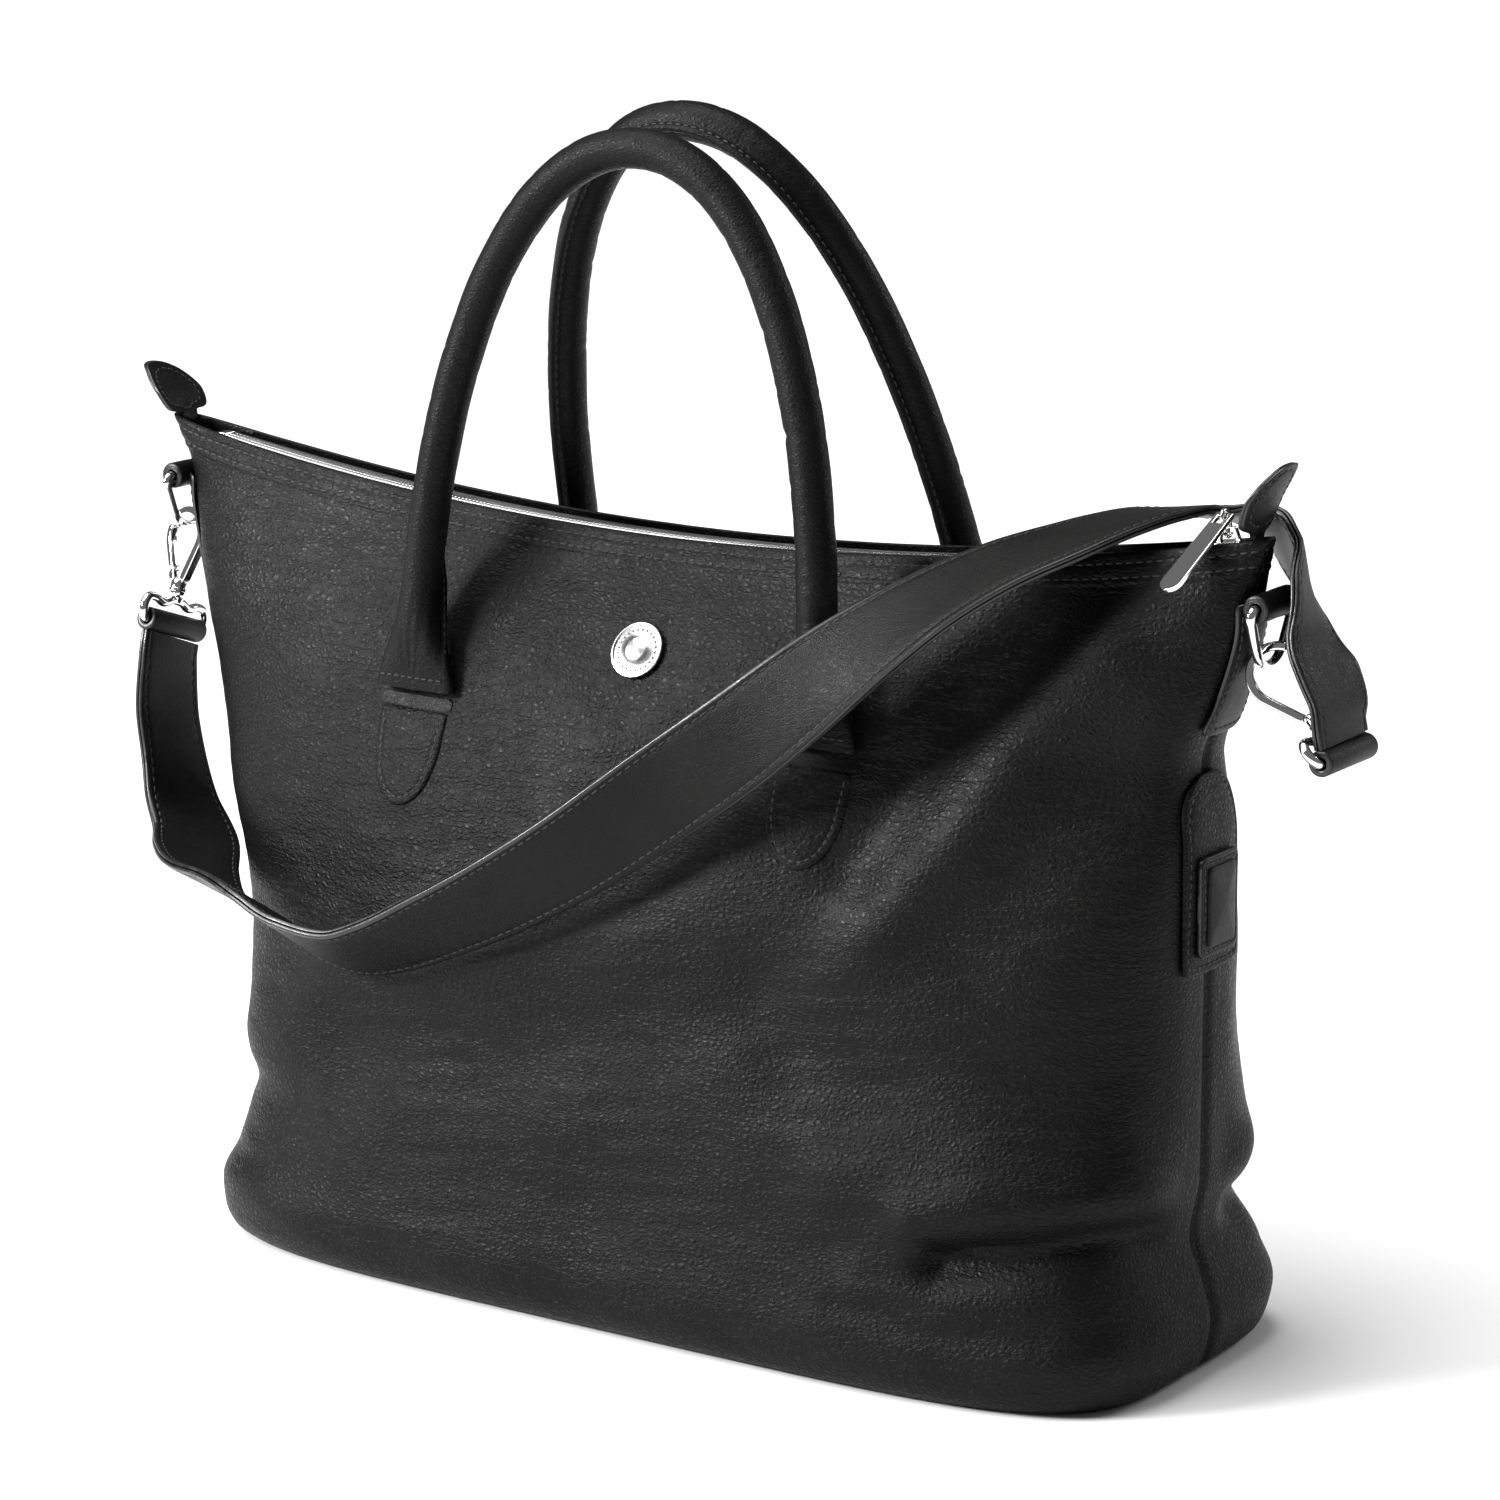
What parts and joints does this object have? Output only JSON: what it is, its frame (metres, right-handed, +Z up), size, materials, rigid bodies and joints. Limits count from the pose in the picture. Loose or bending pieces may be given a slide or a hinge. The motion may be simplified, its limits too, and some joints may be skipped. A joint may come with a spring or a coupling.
{
  "type": "leather tote bag",
  "caption": "Zip-top travel tote in black pebbled leather with rolled handles, a clip-on shoulder strap and polished snap hooks.",
  "frame": {"origin": "middle of the base, on the surface that the bag stands on", "axes": "+X along the bag to its right end, -Y towards its front, +Z up"},
  "size_m": [0.5728, 0.2155, 0.4725],
  "materials": {
    "pebbled_leather": "pebbled, semi-matt",
    "smooth_leather": "smooth, satin, painted edges",
    "lining_cloth": "woven, matt",
    "zip_tape": "woven, matt",
    "nickel": "satin nickel",
    "chrome": "polished",
    "base_board": "fibreboard",
    "handle_filling": "rope"
  },
  "bodies": {
    "bag": {"front_panel": "pebbled_leather", "back_panel": "pebbled_leather", "base_panel": "pebbled_leather", "base_board": "base_board", "base_lining": "lining_cloth", "front_lining": "lining_cloth", "back_lining": "lining_cloth", "zip_tape_front": "zip_tape", "zip_tape_back": "zip_tape", "zip_teeth_front": "nickel", "zip_teeth_back": "nickel", "zip_stop": "nickel", "medallion": "nickel", "front_left_slot_welt": "smooth_leather", "front_left_handle_anchor": "smooth_leather", "front_right_slot_welt": "smooth_leather", "front_right_handle_anchor": "smooth_leather", "back_left_slot_welt": "smooth_leather", "back_left_handle_anchor": "smooth_leather", "back_right_slot_welt": "smooth_leather", "back_right_handle_anchor": "smooth_leather", "left_zip_tab": "smooth_leather", "left_chape": "smooth_leather", "left_side_tab": "pebbled_leather", "left_side_pad": "smooth_leather", "right_zip_tab": "smooth_leather", "right_chape": "smooth_leather", "right_side_tab": "pebbled_leather", "right_side_pad": "smooth_leather"},
    "slider": {"zip_slider": "chrome"},
    "link": {"zip_pull_link": "chrome"},
    "pull": {"zip_pull": "chrome"},
    "front_handle": {"front_handle_cover": "smooth_leather", "front_handle_core": "handle_filling", "front_left_handle_foot": "smooth_leather", "front_right_handle_foot": "smooth_leather"},
    "back_handle": {"back_handle_cover": "smooth_leather", "back_handle_core": "handle_filling", "back_left_handle_foot": "smooth_leather", "back_right_handle_foot": "smooth_leather"},
    "strap": {"strap_face": "smooth_leather", "strap_backing": "smooth_leather", "left_strap_fold": "smooth_leather", "right_strap_fold": "smooth_leather"},
    "left_ring_body": {"left_ring": "chrome"},
    "left_eye": {"left_strap_eye": "chrome"},
    "left_hook": {"left_hook_body": "chrome", "left_gate_pin": "chrome", "left_gate_spring": "chrome"},
    "left_gate": {"left_hook_gate": "chrome"},
    "right_ring_body": {"right_ring": "chrome"},
    "right_eye": {"right_strap_eye": "chrome"},
    "right_hook": {"right_hook_body": "chrome", "right_gate_pin": "chrome", "right_gate_spring": "chrome"},
    "right_gate": {"right_hook_gate": "chrome"}
  },
  "joints": [
    {"name": "zip_slide", "type": "hinge", "parent": "bag", "child": "slider", "pos_m": [-0.0205, 0, 1.6707], "axis": [0, 1, 0], "range_deg": [0, 19.4], "deforming": ["strap_face", "strap_backing"]},
    {"name": "link_tilt", "type": "hinge", "parent": "slider", "child": "link", "pos_m": [0.22121, 0, 0.32986], "axis": [0.9841, 0, 0.1774], "range_deg": [-45, 0]},
    {"name": "pull_swing", "type": "hinge", "parent": "link", "child": "pull", "pos_m": [0.22025, -0.00082, 0.33521], "axis": [-0.9841, 0, -0.1774], "range_deg": [0, 90]},
    {"name": "front_handle_fold", "type": "hinge", "parent": "bag", "child": "front_handle", "pos_m": [0, -0.0549, 0.24], "axis": [1, 0, 0], "range_deg": [0, 90], "deforming": ["strap_face", "strap_backing"]},
    {"name": "back_handle_fold", "type": "hinge", "parent": "bag", "child": "back_handle", "pos_m": [0, 0.0546, 0.24], "axis": [-1, 0, 0], "range_deg": [0, 90]},
    {"name": "left_ring_swing", "type": "hinge", "parent": "bag", "child": "left_ring_body", "pos_m": [-0.274, 0, 0.304], "axis": [0, 1, 0], "range_deg": [0, 3]},
    {"name": "right_ring_swing", "type": "hinge", "parent": "bag", "child": "right_ring_body", "pos_m": [0.2403, 0, 0.304], "axis": [0, -1, 0], "range_deg": [0, 3]},
    {"name": "strap_swing", "type": "hinge", "parent": "bag", "child": "strap", "pos_m": [0, 0, 0.281], "axis": [-1, 0, 0], "range_deg": [0, 6], "deforming": ["strap_face", "strap_backing"]},
    {"name": "left_eye_tilt", "type": "hinge", "parent": "strap", "child": "left_eye", "pos_m": [-0.27545, -0.01398, 0.23988], "axis": [0.05, -0.9445, 0.3248], "range_deg": [0, 3]},
    {"name": "left_hook_swivel", "type": "hinge", "parent": "left_eye", "child": "left_hook", "pos_m": [-0.27636, 0.00076, 0.28292], "axis": [-0.02, 0.324, 0.9459], "range_deg": [-6, 6]},
    {"name": "left_gate_turn", "type": "hinge", "parent": "left_hook", "child": "left_gate", "pos_m": [-0.28073, -0.00611, 0.25917], "axis": [0.239, 0.9202, -0.3101], "range_deg": [0, 10], "stiffness_Nm_per_rad": 0.02},
    {"name": "right_eye_tilt", "type": "hinge", "parent": "strap", "child": "right_eye", "pos_m": [0.27115, 0.00015, 0.25105], "axis": [0, 1, 0], "range_deg": [0, 3]},
    {"name": "right_hook_swivel", "type": "hinge", "parent": "right_eye", "child": "right_hook", "pos_m": [0.23851, 0.00015, 0.28275], "axis": [-0.717, 0, 0.697], "range_deg": [-6, 6]},
    {"name": "right_gate_turn", "type": "hinge", "parent": "right_hook", "child": "right_gate", "pos_m": [0.25948, 0.00162, 0.26903], "axis": [0.2061, -0.9553, 0.2121], "range_deg": [0, 10], "stiffness_Nm_per_rad": 0.02}
  ]
}
